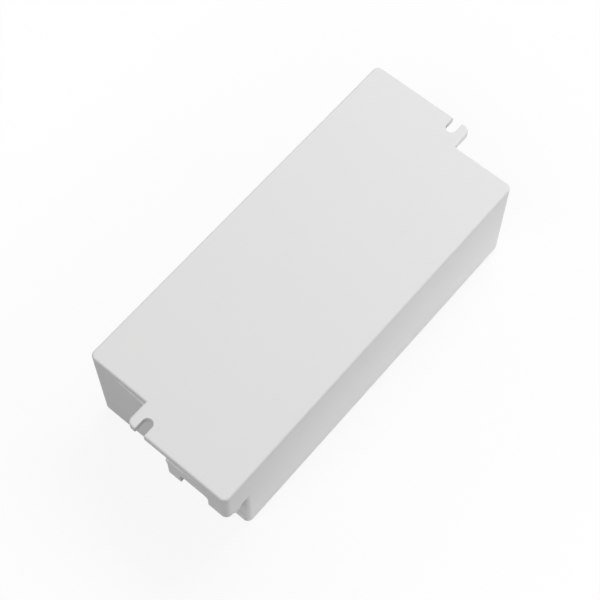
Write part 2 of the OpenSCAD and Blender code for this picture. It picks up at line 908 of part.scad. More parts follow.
module output_choke_winding() {
    low = drum_flange + lead_play;
    high = drum_h - drum_flange - lead_play;
    color("peru") on_board(output_choke_at) translate([0, 0, low]) difference() {
        cylinder(r = drum_coil_r, h = high - low);
        translate([0, 0, -cut]) cylinder(r = drum_neck_r + lead_play / 2, h = drum_h);
    }
}

// Resistor with end caps a little wider than its waist, lying on the board between bent leads
module resistor() {
    translate([0, 0, resistor_r]) rotate([0, 90, 0]) {
        cylinder(r = resistor_waist_r, h = resistor_l, center = true);
        for (side = [-1, 1])
            translate([0, 0, side * (resistor_l - resistor_cap) / 2])
                cylinder(r = resistor_r, h = resistor_cap, center = true);
        cylinder(r = lead_r, h = 2 * resistor_leads[1][0] + lead_r, center = true);
    }
    leads(resistor_leads, resistor_r + lead_r / 2);
}

module resistors() {
    color("tan") for (r = resistor_at)
        on_board(r, r[2]) resistor();
}

base_plate();
housing();
circuit_board();
board_screws();
input_terminal();
output_terminal();
terminal_contacts();
input_cable_clamp();
output_cable_clamp();
clamp_screws();
fuse();
varistor();
thermistor();
filter_capacitor();
filter_choke_core();
filter_choke_windings();
bridge_rectifier();
storage_capacitor();
power_switch();
switch_heatsink();
heatsink_screws();
transformer_core();
transformer_bobbin();
transformer_winding();
safety_capacitor();
optocoupler();
control_chip();
output_diode();
diode_heatsink();
output_capacitors();
output_choke_core();
output_choke_winding();
resistors();
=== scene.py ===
"""LED driver in a matt white two-piece case, dressed and lit for a studio picture.

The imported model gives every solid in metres: X runs along the case from the input
end to the output end, Z points out of the mounting plate, and the part lies on its
front face at z = 0.  The solids stay as they are.  Modifiers round the sharp edges of
the outer ones, each solid gets a procedural finish, and floor, light and camera follow.
"""

import logging
import math
from dataclasses import dataclass, field, replace
from enum import Enum
from typing import Any, Mapping, Sequence, Union

import bmesh
import bpy
from mathutils import Matrix, Vector


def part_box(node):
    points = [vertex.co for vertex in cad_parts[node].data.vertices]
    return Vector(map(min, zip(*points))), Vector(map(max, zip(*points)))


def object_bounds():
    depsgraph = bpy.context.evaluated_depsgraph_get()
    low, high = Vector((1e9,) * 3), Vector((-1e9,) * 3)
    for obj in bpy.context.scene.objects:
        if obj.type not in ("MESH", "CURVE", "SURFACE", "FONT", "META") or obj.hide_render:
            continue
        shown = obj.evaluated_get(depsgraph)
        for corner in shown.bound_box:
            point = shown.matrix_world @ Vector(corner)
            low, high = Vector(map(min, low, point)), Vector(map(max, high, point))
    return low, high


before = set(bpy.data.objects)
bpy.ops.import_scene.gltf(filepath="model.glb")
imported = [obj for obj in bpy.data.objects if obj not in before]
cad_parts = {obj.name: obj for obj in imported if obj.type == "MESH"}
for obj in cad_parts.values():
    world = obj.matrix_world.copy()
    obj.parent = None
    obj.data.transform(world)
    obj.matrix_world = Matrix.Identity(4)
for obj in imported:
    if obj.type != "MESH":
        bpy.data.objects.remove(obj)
cad_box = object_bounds()
log = logging.getLogger("led_driver")

Colour = tuple[float, float, float]
Point = tuple[float, float, float]
Span = tuple[float, float]
Value = Union["Signal", float, str, Sequence[float]]

MM = 0.001
EVEN: Point = (1.0, 1.0, 1.0)
NOISE_MIDDLE = 0.5
NOISE_ROUGHNESS = 0.55

# Corners of a solid's faces that are closer than this become one.
JOIN_MM = 0.001

# Numbers of a Mix node's colour sockets.
MIX_FIRST = 6
MIX_SECOND = 7
MIX_RESULT = 2

# Tinned metal of leads, legs and tabs, and how softly it starts.
TIN: Colour = (0.70, 0.70, 0.68)
TIN_ROUGHNESS = 0.32
TIN_EDGE_MM = 0.03


class Axis(Enum):
    """An axis of the frame."""

    X = "X"
    Y = "Y"
    Z = "Z"


class Nearest(Enum):
    """Which scattered point a distance is measured to."""

    FIRST = "F1"
    SECOND = "F2"


class Metric(Enum):
    """How a distance is measured, which gives round or square cells."""

    ROUND = "EUCLIDEAN"
    SQUARE = "CHEBYCHEV"


class Signal:
    """A node socket that Python expressions can be written with."""

    def __init__(self, graph: "Graph", socket: bpy.types.NodeSocket | None) -> None:
        """Keep the socket and the graph that it belongs to."""
        self.graph = graph
        self.socket = socket

    def _math(self, operation: str, *operands: Value) -> "Signal":
        """Result of one Math node, with its operands from the left."""
        return self.graph.node("ShaderNodeMath", {"operation": operation}, dict(enumerate(operands)))

    def __add__(self, other: Value) -> "Signal":
        """Sum of two values."""
        return self._math("ADD", self, other)

    __radd__ = __add__

    def __sub__(self, other: Value) -> "Signal":
        """Difference of two values."""
        return self._math("SUBTRACT", self, other)

    def __rsub__(self, other: Value) -> "Signal":
        """Difference of two values, from the right."""
        return self._math("SUBTRACT", other, self)

    def __mul__(self, other: Value) -> "Signal":
        """Product of two values."""
        return self._math("MULTIPLY", self, other)

    __rmul__ = __mul__

    def __truediv__(self, other: Value) -> "Signal":
        """Quotient of two values."""
        return self._math("DIVIDE", self, other)

    def __rtruediv__(self, other: Value) -> "Signal":
        """Quotient of two values, from the right."""
        return self._math("DIVIDE", other, self)

    def __pow__(self, other: Value) -> "Signal":
        """The value to a power."""
        return self._math("POWER", self, other)

    def __rpow__(self, other: Value) -> "Signal":
        """A power with the value as its exponent."""
        return self._math("POWER", other, self)

    def size(self) -> "Signal":
        """The value without its sign."""
        return self._math("ABSOLUTE", self)

    def highest(self, other: Value) -> "Signal":
        """The larger of two values."""
        return self._math("MAXIMUM", self, other)

    def wrapped(self) -> "Signal":
        """The part of the value after the decimal point."""
        return self._math("FRACT", self)

    def swing(self, amount: float) -> "Signal":
        """How far a noise is from its middle, times an amount."""
        return (self - NOISE_MIDDLE) * amount

    def step(self, low: float, high: float) -> "Signal":
        """Ease from 0 to 1.

        Args:
            low: Value at which the result leaves 0.
            high: Value at which the result reaches 1.

        Returns:
            The eased value.
        """
        settings = {"interpolation_type": "SMOOTHSTEP"}
        inputs = {"Value": self, "From Min": low, "From Max": high}
        return self.graph.node("ShaderNodeMapRange", settings, inputs)


class Graph:
    """A tree's nodes, added by expressions and by one general method."""

    def __init__(self, tree: bpy.types.NodeTree) -> None:
        """Empty the tree of a material, a world or a modifier."""
        self.tree = tree
        tree.nodes.clear()

    def node(
        self,
        kind: str,
        settings: Mapping[str, Any] | None = None,
        inputs: Mapping[str | int, Value] | None = None,
        output: str | int = 0,
    ) -> Signal:
        """Add any node.

        Args:
            kind: The node's type.
            settings: Its own settings, set first.
            inputs: Values or links of its sockets, by name or number.
            output: The socket that is returned.

        Returns:
            The chosen output, which is empty for a node that ends the graph.
        """
        made = self.tree.nodes.new(kind)
        for name, setting in (settings or {}).items():
            setattr(made, name, setting)
        for key, value in (inputs or {}).items():
            if isinstance(value, Signal):
                self.tree.links.new(value.socket, made.inputs[key])
            else:
                made.inputs[key].default_value = value
        return Signal(self, made.outputs[output] if made.outputs else None)

    def place(self, stretch: Point = EVEN) -> Signal:
        """Position on the part in metres.

        Args:
            stretch: Factor along each axis, for grain that runs one way.

        Returns:
            The position.
        """
        spot = self.node("ShaderNodeTexCoord", output="Object")
        if stretch == EVEN:
            return spot
        return self.node("ShaderNodeVectorMath", {"operation": "MULTIPLY"}, {0: spot, 1: stretch})

    def along(self, axis: Axis) -> Signal:
        """One coordinate of the position, in metres."""
        return self.node("ShaderNodeSeparateXYZ", inputs={0: self.place()}, output=axis.value)

    def facing(self, axis: Axis) -> Signal:
        """How far the surface looks along an axis."""
        normal = self.node("ShaderNodeNewGeometry", output="True Normal")
        return self.node("ShaderNodeSeparateXYZ", inputs={0: normal}, output=axis.value)

    def noise(self, size_mm: float, detail: float = 2.0, stretch: Point = EVEN) -> Signal:
        """Soft noise from 0 to 1.

        Args:
            size_mm: Size of one patch.
            detail: Finer layers on top.
            stretch: Factor along each axis.

        Returns:
            The noise.
        """
        inputs = {
            "Vector": self.place(stretch),
            "Scale": 1.0 / (size_mm * MM),
            "Detail": detail,
            "Roughness": NOISE_ROUGHNESS,
        }
        return self.node("ShaderNodeTexNoise", inputs=inputs)

    def cells(
        self, size_mm: float, point: Nearest = Nearest.FIRST, metric: Metric = Metric.ROUND
    ) -> Signal:
        """Distance pattern of scattered points.

        Args:
            size_mm: Mean distance of the points.
            point: Which point the distance is measured to.
            metric: How the distance is measured.

        Returns:
            The pattern.
        """
        settings = {"feature": point.value, "distance": metric.value}
        inputs = {"Vector": self.place(), "Scale": 1.0 / (size_mm * MM)}
        return self.node("ShaderNodeTexVoronoi", settings, inputs, "Distance")

    def blend(self, factor: Value, first: Value, second: Value) -> Signal:
        """Mix two colours.

        Args:
            factor: 0 gives the first, 1 the second.
            first: Colour or link.
            second: Colour or link.

        Returns:
            The mixed colour.
        """
        inputs: dict[int, Value] = {0: factor}
        for socket, tint in ((MIX_FIRST, first), (MIX_SECOND, second)):
            inputs[socket] = tint if isinstance(tint, Signal) else (*tint, 1.0)
        return self.node("ShaderNodeMix", {"data_type": "RGBA"}, inputs, MIX_RESULT)

    def bump(self, height: Signal, depth_mm: float, under: Signal | None = None) -> Signal:
        """Fine relief.

        Args:
            height: Relief from 0 to 1.
            depth_mm: How deep 1 is.
            under: A coarser relief below it.

        Returns:
            The bumped normal.
        """
        inputs: dict[str, Value] = {"Height": height, "Distance": depth_mm * MM, "Strength": 1.0}
        if under is not None:
            inputs["Normal"] = under
        return self.node("ShaderNodeBump", inputs=inputs)

    def surface(self, **sockets: Value) -> None:
        """Finish the material with a Principled shader.

        Args:
            **sockets: The shader's sockets, with underscores for blanks.
        """
        inputs: dict[str, Value] = {}
        for name, value in sockets.items():
            wide = name.endswith("Color") and not isinstance(value, Signal)
            inputs[name.replace("_", " ")] = (*value, 1.0) if wide else value
        shader = self.node("ShaderNodeBsdfPrincipled", inputs=inputs)
        self.node("ShaderNodeOutputMaterial", inputs={"Surface": shader})


def shade(colour: Colour, factor: float) -> Colour:
    """A lighter or darker colour, at most 1."""
    return tuple(min(1.0, part * factor) for part in colour)


def tinted(colour: Colour, shift: Colour) -> Colour:
    """A colour with a factor of its own for each channel."""
    return tuple(part * factor for part, factor in zip(colour, shift))


@dataclass(frozen=True)
class BareMetal:
    """Where a part's tinned metal shows: past a plane in metres, on the side of a sign."""

    axis: Axis
    plane: float
    side: float = 1.0

    def mask(self, graph: Graph) -> Signal:
        """1 past the plane, else 0."""
        past = (graph.along(self.axis) - self.plane) * self.side
        return past.step(-TIN_EDGE_MM * MM, TIN_EDGE_MM * MM)


@dataclass(frozen=True)
class Finish:
    """What every finish has: a name, a colour, a roughness and perhaps bare metal.

    The endings of the fields below are the same in all finishes.  A span is where a
    pattern sets in, a share is how much it colours, light and shade are factors on the
    finish's colour, and gloss is how far it changes the roughness.
    """

    name: str
    colour: Colour
    roughness: float
    bare: Sequence[BareMetal] = ()

    def make(self) -> bpy.types.Material:
        """Build the finish's material.

        Returns:
            The material.
        """
        material = bpy.data.materials.new(self.name)
        material.use_nodes = True
        self.paint(Graph(material.node_tree))
        return material

    def paint(self, graph: Graph) -> None:
        """Add the finish's nodes to a graph."""
        raise NotImplementedError

    def lay(self, graph: Graph, **sockets: Value) -> None:
        """Finish a graph's surface, tinned where the part is bare.

        Args:
            graph: Graph to finish.
            **sockets: The shader's sockets on the part's body.
        """
        if self.bare:
            metal = self.bare[0].mask(graph)
            for other in self.bare[1:]:
                metal = metal.highest(other.mask(graph))
            body = 1.0 - metal
            sockets["Base_Color"] = graph.blend(metal, sockets["Base_Color"], TIN)
            sockets["Roughness"] = sockets["Roughness"] * body + metal * TIN_ROUGHNESS
            sockets["Metallic"] = metal.highest(sockets.get("Metallic", 0.0))
            if "Coat_Weight" in sockets:
                sockets["Coat_Weight"] = body * sockets["Coat_Weight"]
        graph.surface(**sockets)


@dataclass(frozen=True)
class MouldedPlastic(Finish):
    """Injection-moulded plastic with a fine eroded mould texture."""

    grain_mm: float = 0.32
    grain_depth_mm: float = 0.0045
    grain_gloss: float = 0.12
    fleck_mm: float = 1.7
    fleck_share: float = 0.5
    fleck_gloss: float = 0.06
    cloud_mm: float = 24.0
    sink_mm: float = 17.0
    sink_depth_mm: float = 0.05
    mottle: float = 0.012
    warm: Colour = (1.0, 0.995, 0.98)
    scatter: float = 0.0
    scatter_mm: float = 0.6
    scatter_reach: Colour = (1.0, 0.95, 0.9)
    specular: float = 0.4

    def paint(self, graph: Graph) -> None:
        """Add pigment clouds, flecks, mould grain and slow sink.

        Args:
            graph: Graph of the material.
        """
        cloud = graph.noise(self.cloud_mm, detail=1.0)
        grain = graph.noise(self.grain_mm)
        fleck = graph.noise(self.fleck_mm)
        dark = shade(self.colour, 1.0 - self.mottle)
        light = shade(tinted(self.colour, self.warm), 1.0 + self.mottle)
        pigment = graph.blend(cloud, dark, light)
        streak = fleck.swing(self.fleck_share) + self.fleck_share / 2.0
        flow = graph.blend(streak, pigment, shade(self.colour, 1.0 - 2.0 * self.mottle))
        rough = self.roughness + grain.swing(self.grain_gloss) + fleck.swing(self.fleck_gloss)
        sink = graph.bump(graph.noise(self.sink_mm, detail=0.0), self.sink_depth_mm)
        self.lay(
            graph,
            Base_Color=flow,
            Roughness=rough,
            Normal=graph.bump(grain, self.grain_depth_mm, sink),
            Specular_IOR_Level=self.specular,
            Subsurface_Weight=self.scatter,
            Subsurface_Radius=self.scatter_reach,
            Subsurface_Scale=self.scatter_mm * MM,
        )


@dataclass(frozen=True)
class PlatedMetal(Finish):
    """Plated or plain metal with fine drawn lines and handling marks."""

    line_mm: float = 0.08
    line_depth_mm: float = 0.002
    line_gloss: float = 0.16
    run: Point = (0.08, 1.0, 1.0)
    patch_mm: float = 2.2
    patch_span: Span = (0.42, 0.7)
    patch_gloss: float = 0.18
    dull: Colour = (0.82, 0.83, 0.86)

    def paint(self, graph: Graph) -> None:
        """Add drawn lines and dull patches.

        Args:
            graph: Graph of the material.
        """
        line = graph.noise(self.line_mm, stretch=self.run)
        patch = graph.noise(self.patch_mm, detail=3.0)
        worn = patch.step(*self.patch_span)
        rough = self.roughness + line.swing(self.line_gloss) + patch.swing(self.patch_gloss)
        self.lay(
            graph,
            Base_Color=graph.blend(worn, self.colour, tinted(self.colour, self.dull)),
            Metallic=1.0,
            Roughness=rough,
            Normal=graph.bump(line, self.line_depth_mm),
        )


@dataclass(frozen=True)
class SolderMask(Finish):
    """Green lacquered laminate with buried copper fields and bare edges."""

    field_mm: float = 7.0
    field_span: Span = (0.05, 0.10)
    field_share: float = 0.3
    field_light: float = 2.2
    weave_mm: float = 0.35
    weave_share: float = 0.2
    weave_gloss: float = 0.1
    cloud_mm: float = 14.0
    cloud_share: float = 0.5
    cloud_light: float = 1.35
    core: Colour = (0.42, 0.36, 0.16)
    core_span: Span = (0.25, 0.75)
    core_gloss: float = 0.3
    relief_mm: float = 0.03
    coat: float = 0.25

    def paint(self, graph: Graph) -> None:
        """Add copper fields under the lacquer, and the fibre colour of the edges.

        Args:
            graph: Graph of the material.
        """
        near, second = (graph.cells(self.field_mm, point, Metric.SQUARE) for point in Nearest)
        copper = (second - near).step(*self.field_span)
        weave = graph.noise(self.weave_mm, detail=1.0)
        cloud = graph.noise(self.cloud_mm)
        thick = cloud * self.cloud_share + weave * self.weave_share
        lacquer = graph.blend(thick, self.colour, shade(self.colour, self.cloud_light))
        masked = graph.blend(copper * self.field_share, lacquer, shade(self.colour, self.field_light))
        upright = graph.facing(Axis.Z)
        edge = 1.0 - (upright * upright).step(*self.core_span)
        relief = copper * (1.0 - self.weave_share) + weave * self.weave_share
        self.lay(
            graph,
            Base_Color=graph.blend(edge, masked, self.core),
            Roughness=self.roughness + edge * self.core_gloss + weave.swing(self.weave_gloss),
            Normal=graph.bump(relief, self.relief_mm),
            Coat_Weight=self.coat,
        )


@dataclass(frozen=True)
class DippedResin(Finish):
    """Resin coat that a disc part was dipped in, uneven and glossy."""

    wave_mm: float = 2.6
    wave_depth_mm: float = 0.10
    wave_gloss: float = 0.15
    thin_span: Span = (0.45, 0.75)
    thin_light: float = 1.3
    pin_mm: float = 0.9
    pin_span: Span = (0.04, 0.12)
    pin_share: float = 0.6
    pin_shade: float = 0.5
    pin_depth: float = 0.15
    pin_gloss: float = 0.2
    coat: float = 0.3

    def paint(self, graph: Graph) -> None:
        """Add the coat's waves, pinholes and thin places.

        Args:
            graph: Graph of the material.
        """
        wave = graph.noise(self.wave_mm, detail=1.0)
        pin = 1.0 - graph.cells(self.pin_mm).step(*self.pin_span)
        lit = shade(self.colour, self.thin_light)
        thin = graph.blend(wave.step(*self.thin_span), self.colour, lit)
        pitted = graph.blend(pin * self.pin_share, thin, shade(self.colour, self.pin_shade))
        self.lay(
            graph,
            Base_Color=pitted,
            Roughness=self.roughness + wave.swing(self.wave_gloss) + pin * self.pin_gloss,
            Normal=graph.bump(wave - pin * self.pin_depth, self.wave_depth_mm),
            Coat_Weight=self.coat,
        )


@dataclass(frozen=True)
class SinteredCore(Finish):
    """Pressed and sintered ferrite with powder speckle and pores."""

    speckle_mm: float = 0.25
    speckle_span: Span = (0.4, 0.7)
    speckle_light: float = 1.7
    speckle_gloss: float = 0.25
    pore_mm: float = 0.7
    pore_span: Span = (0.05, 0.2)
    pore_share: float = 0.7
    pore_shade: float = 0.4
    pore_depth: float = 0.6
    relief_mm: float = 0.03

    def paint(self, graph: Graph) -> None:
        """Add powder speckle and pores.

        Args:
            graph: Graph of the material.
        """
        speckle = graph.noise(self.speckle_mm, detail=3.0)
        pore = 1.0 - graph.cells(self.pore_mm).step(*self.pore_span)
        lit = shade(self.colour, self.speckle_light)
        powder = graph.blend(speckle.step(*self.speckle_span), self.colour, lit)
        pitted = graph.blend(pore * self.pore_share, powder, shade(self.colour, self.pore_shade))
        relief = speckle * (1.0 - self.pore_depth) - pore * self.pore_depth
        self.lay(
            graph,
            Base_Color=pitted,
            Roughness=self.roughness + speckle.swing(self.speckle_gloss),
            Normal=graph.bump(relief, self.relief_mm),
        )


@dataclass(frozen=True)
class EnamelledWire(Finish):
    """Enamelled copper wire, darker in places."""

    run_mm: float = 0.5
    run_depth_mm: float = 0.006
    run_gloss: float = 0.2
    cloud_mm: float = 5.0
    cloud_span: Span = (0.35, 0.7)
    cloud_shade: float = 0.62
    metal: float = 0.85
    coat: float = 0.6
    coat_roughness: float = 0.12

    def paint(self, graph: Graph) -> None:
        """Add enamel runs and darker places.

        Args:
            graph: Graph of the material.
        """
        run = graph.noise(self.run_mm)
        cloud = graph.noise(self.cloud_mm).step(*self.cloud_span)
        self.lay(
            graph,
            Base_Color=graph.blend(cloud, self.colour, shade(self.colour, self.cloud_shade)),
            Metallic=self.metal,
            Roughness=self.roughness + run.swing(self.run_gloss),
            Normal=graph.bump(run, self.run_depth_mm),
            Coat_Weight=self.coat,
            Coat_Roughness=self.coat_roughness,
        )


@dataclass(frozen=True)
class ShrunkSleeve(Finish):
    """Film sleeve shrunk on a can, with the can's bare end."""

    can_end: Colour = (0.72, 0.73, 0.74)
    end_span: Span = (0.85, 0.97)
    end_metal: float = 0.9
    stretch_mm: float = 0.6
    stretch_depth_mm: float = 0.012
    stretch_run: Point = (1.0, 1.0, 0.12)
    stretch_gloss: float = 0.15
    smear_mm: float = 6.0
    smear_share: float = 0.6
    smear_light: float = 1.8

    def paint(self, graph: Graph) -> None:
        """Add the film's stretch lines and the bare metal of the ends.

        Args:
            graph: Graph of the material.
        """
        stretch = graph.noise(self.stretch_mm, stretch=self.stretch_run)
        smear = graph.noise(self.smear_mm) * self.smear_share
        film = graph.blend(smear, self.colour, shade(self.colour, self.smear_light))
        upright = graph.facing(Axis.Z)
        end = (upright * upright).step(*self.end_span)
        self.lay(
            graph,
            Base_Color=graph.blend(end, film, self.can_end),
            Metallic=end * self.end_metal,
            Roughness=self.roughness + stretch.swing(self.stretch_gloss),
            Normal=graph.bump(stretch, self.stretch_depth_mm),
        )


@dataclass(frozen=True)
class LayeredTape(Finish):
    """Film tape wound in layers, with a dark line at each lap."""

    lap_mm: float = 2.4
    lap_depth: float = 0.5
    seam_span: Span = (0.0, 0.08)
    seam_share: float = 0.5
    seam_shade: float = 0.55
    air_mm: float = 1.4
    air_span: Span = (0.56, 0.7)
    air_share: float = 0.5
    air_light: float = 1.35
    air_depth: float = 0.2
    air_gloss: float = 0.2
    relief_mm: float = 0.05

    def paint(self, graph: Graph) -> None:
        """Add laps and trapped air.

        Args:
            graph: Graph of the material.
        """
        lap = (graph.along(Axis.Z) / (self.lap_mm * MM)).wrapped()
        seam = 1.0 - lap.step(*self.seam_span)
        air = graph.noise(self.air_mm, detail=3.0).step(*self.air_span)
        film = graph.blend(air * self.air_share, self.colour, shade(self.colour, self.air_light))
        self.lay(
            graph,
            Base_Color=graph.blend(seam * self.seam_share, film, shade(self.colour, self.seam_shade)),
            Roughness=self.roughness + air * self.air_gloss,
            Normal=graph.bump(lap * self.lap_depth + air * self.air_depth, self.relief_mm),
        )


@dataclass(frozen=True)
class EdgeRounding:
    """Modifiers that round a solid's sharp edges and keep its flats flat."""

    width_mm: float
    steps: int = 2
    from_degrees: float = 38.0
    flat_degrees: float = 0.4
    flat_weight: int = 100

    def apply(self, solid: bpy.types.Object) -> None:
        """Add the modifiers.

        Args:
            solid: Object whose edges are rounded.
        """
        joined = solid.modifiers.new("joined_faces", "NODES")
        joined.node_group = smooth_faces()
        flats = solid.modifiers.new("whole_flats", "DECIMATE")
        flats.decimate_type = "DISSOLVE"
        flats.angle_limit = math.radians(self.flat_degrees)
        edges = solid.modifiers.new("round_edges", "BEVEL")
        edges.width = self.width_mm * MM
        edges.segments = self.steps
        edges.limit_method = "ANGLE"
        edges.angle_limit = math.radians(self.from_degrees)
        edges.use_clamp_overlap = True
        edges.miter_outer = "MITER_ARC"
        weighted = solid.modifiers.new("flat_shading", "WEIGHTED_NORMAL")
        weighted.weight = self.flat_weight


def smooth_faces() -> bpy.types.NodeTree:
    """Geometry nodes that join a solid's faces and shade them smooth.

    Returns:
        The node group, made once.
    """
    group = bpy.data.node_groups.get("joined_smooth_faces")
    if group is not None:
        return group
    group = bpy.data.node_groups.new("joined_smooth_faces", "GeometryNodeTree")
    for way in ("INPUT", "OUTPUT"):
        group.interface.new_socket("Geometry", in_out=way, socket_type="NodeSocketGeometry")
    graph = Graph(group)
    solid = graph.node("NodeGroupInput")
    merging = {"Geometry": solid, "Distance": JOIN_MM * MM}
    joined = graph.node("GeometryNodeMergeByDistance", inputs=merging)
    dropping = {"Geometry": joined, "Name": "custom_normal"}
    plain = graph.node("GeometryNodeRemoveAttribute", inputs=dropping)
    smooth = graph.node("GeometryNodeSetShadeSmooth", inputs={"Geometry": plain})
    graph.node("NodeGroupOutput", inputs={"Geometry": smooth})
    return group


class Rounding(Enum):
    """How softly a kind of piece is edged."""

    MOULDING = EdgeRounding(width_mm=0.10)
    METAL = EdgeRounding(width_mm=0.05)


def dress(node: str, material: bpy.types.Material, rounding: Rounding | None = None) -> None:
    """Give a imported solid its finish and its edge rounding.

    Args:
        node: Name of the solid.
        material: Its finish.
        rounding: How its edges are rounded, or None to leave them.
    """
    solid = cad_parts[node]
    for holder in solid.material_slots:
        holder.link = "OBJECT"
        holder.material = material
    if rounding is not None:
        rounding.value.apply(solid)
    log.info("%s: %s", node, material.name)


@dataclass
class CaseShell:
    """Mounting plate and tub: all that the photograph shows."""

    plastic: MouldedPlastic = MouldedPlastic(
        "matt_white_case", (0.80, 0.805, 0.803), 0.56, scatter=0.05
    )
    nodes: Sequence[str] = ("base_plate", "housing")

    def build(self) -> None:
        """Round and dress the two halves of the case."""
        white = self.plastic.make()
        for node in self.nodes:
            dress(node, white, Rounding.MOULDING)


@dataclass
class WiringEnds:
    """What is reached from outside at the two ends: terminals and cable clamps."""

    block: MouldedPlastic = MouldedPlastic(
        "light_grey_terminal", (0.52, 0.53, 0.54), 0.48, grain_mm=0.2
    )
    bar: MouldedPlastic = MouldedPlastic("off_white_clamp", (0.74, 0.74, 0.72), 0.55, grain_mm=0.25)
    spring: PlatedMetal = PlatedMetal("tinned_contact", (0.78, 0.74, 0.64), 0.32)
    screw: PlatedMetal = PlatedMetal(
        "zinc_plated_screw", (0.66, 0.67, 0.70), 0.30, run=(1.0, 1.0, 0.3)
    )

    def build(self) -> None:
        """Round and dress terminals, contacts, clamps and screws."""
        block, bar = self.block.make(), self.bar.make()
        for end in ("input", "output"):
            dress(f"{end}_terminal", block, Rounding.MOULDING)
            dress(f"{end}_cable_clamp", bar, Rounding.MOULDING)
        dress("terminal_contacts", self.spring.make(), Rounding.METAL)
        dress("clamp_screws", self.screw.make(), Rounding.METAL)


@dataclass(frozen=True)
class Leads:
    """Bare metal of a part on the board: leads under it, legs at its sides, a tab behind it."""

    stand_mm: float = 0.0
    legs_mm: float = 0.0
    tab_mm: float = 0.0

    def planes(self, node: str) -> tuple[BareMetal, ...]:
        """Planes past which the part is bare.

        Args:
            node: Name of the part's solid.

        Returns:
            The planes, in metres.
        """
        low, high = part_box(node)
        board_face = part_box("circuit_board")[0][2]
        found = [BareMetal(Axis.Z, board_face - self.stand_mm * MM)]
        if self.legs_mm:
            found.append(BareMetal(Axis.X, high[0] - self.legs_mm * MM))
            found.append(BareMetal(Axis.X, low[0] + self.legs_mm * MM, -1.0))
        if self.tab_mm:
            found.append(BareMetal(Axis.Y, low[1] + self.tab_mm * MM, -1.0))
        return tuple(found)


class BoardFinish(Enum):
    """Finishes of the board and its parts."""

    BOARD = SolderMask("green_solder_mask", (0.03, 0.15, 0.06), 0.34)
    SCREW = PlatedMetal("zinc_plated_board_screw", (0.64, 0.65, 0.68), 0.32)
    FUSE = MouldedPlastic("brown_fuse_body", (0.14, 0.06, 0.03), 0.45, grain_mm=0.2)
    VARISTOR = DippedResin("blue_varistor_coat", (0.03, 0.09, 0.34), 0.28)
    THERMISTOR = DippedResin("dark_thermistor_coat", (0.03, 0.05, 0.045), 0.45)
    SAFETY = DippedResin("bright_blue_capacitor_coat", (0.02, 0.10, 0.46), 0.26)
    FILM = MouldedPlastic("yellow_film_box", (0.60, 0.42, 0.05), 0.30, grain_mm=0.6)
    FERRITE = SinteredCore("dark_ferrite", (0.035, 0.035, 0.038), 0.62)
    WIRE = EnamelledWire("enamelled_copper", (0.62, 0.24, 0.09), 0.30)
    DEVICE = MouldedPlastic("black_device_epoxy", (0.018, 0.018, 0.02), 0.52, grain_mm=0.15)
    CAN = ShrunkSleeve("dark_can_sleeve", (0.022, 0.022, 0.045), 0.30)
    SINK = PlatedMetal(
        "extruded_aluminium", (0.74, 0.75, 0.76), 0.38, line_mm=0.15, run=(1.0, 1.0, 0.05)
    )
    BOBBIN = MouldedPlastic("black_bobbin", (0.02, 0.024, 0.022), 0.42, grain_mm=0.2)
    TAPE = LayeredTape("yellow_winding_tape", (0.72, 0.50, 0.05), 0.24)
    RESISTOR = DippedResin("tan_resistor_coat", (0.50, 0.32, 0.16), 0.42, wave_mm=1.2)


@dataclass(frozen=True)
class BoardPart:
    """A part inside the case: its finish and its bare metal."""

    finish: BoardFinish
    leads: Leads | None = None

    def finish_of(self, node: str) -> Finish:
        """The finish with the part's bare metal.

        Args:
            node: Name of the part's solid.

        Returns:
            The plain finish, or a copy of its own for a part with leads.
        """
        plain = self.finish.value
        if self.leads is None:
            return plain
        return replace(plain, name=f"{plain.name}_on_{node}", bare=self.leads.planes(node))


@dataclass
class DriverBoard:
    """Circuit board and everything on it, inside the closed case."""

    parts: Mapping[str, BoardPart] = field(
        default_factory=lambda: {
            "circuit_board": BoardPart(BoardFinish.BOARD),
            "board_screws": BoardPart(BoardFinish.SCREW),
            "fuse": BoardPart(BoardFinish.FUSE, Leads()),
            "varistor": BoardPart(BoardFinish.VARISTOR, Leads(stand_mm=1.2)),
            "thermistor": BoardPart(BoardFinish.THERMISTOR, Leads(stand_mm=1.2)),
            "filter_capacitor": BoardPart(BoardFinish.FILM, Leads()),
            "filter_choke_core": BoardPart(BoardFinish.FERRITE),
            "filter_choke_windings": BoardPart(BoardFinish.WIRE),
            "bridge_rectifier": BoardPart(BoardFinish.DEVICE, Leads(stand_mm=1.0)),
            "storage_capacitor": BoardPart(BoardFinish.CAN, Leads()),
            "power_switch": BoardPart(BoardFinish.DEVICE, Leads(stand_mm=3.2, tab_mm=1.3)),
            "switch_heatsink": BoardPart(BoardFinish.SINK),
            "heatsink_screws": BoardPart(BoardFinish.SCREW),
            "transformer_core": BoardPart(BoardFinish.FERRITE),
            "transformer_bobbin": BoardPart(BoardFinish.BOBBIN, Leads()),
            "transformer_winding": BoardPart(BoardFinish.TAPE),
            "safety_capacitor": BoardPart(BoardFinish.SAFETY, Leads(stand_mm=1.2)),
            "optocoupler": BoardPart(BoardFinish.DEVICE, Leads(stand_mm=0.5, legs_mm=1.0)),
            "control_chip": BoardPart(BoardFinish.DEVICE, Leads(stand_mm=0.2, legs_mm=0.5)),
            "output_diode": BoardPart(BoardFinish.DEVICE, Leads(stand_mm=3.2, tab_mm=1.3)),
            "diode_heatsink": BoardPart(BoardFinish.SINK),
            "output_capacitors": BoardPart(BoardFinish.CAN, Leads()),
            "output_choke_core": BoardPart(BoardFinish.FERRITE),
            "output_choke_winding": BoardPart(BoardFinish.WIRE),
            "resistors": BoardPart(BoardFinish.RESISTOR, Leads()),
        }
    )

    def build(self) -> None:
        """Dress the board and its parts."""
        made: dict[str, bpy.types.Material] = {}
        for node, part in self.parts.items():
            finish = part.finish_of(node)
            if finish.name not in made:
                made[finish.name] = finish.make()
            dress(node, made[finish.name])


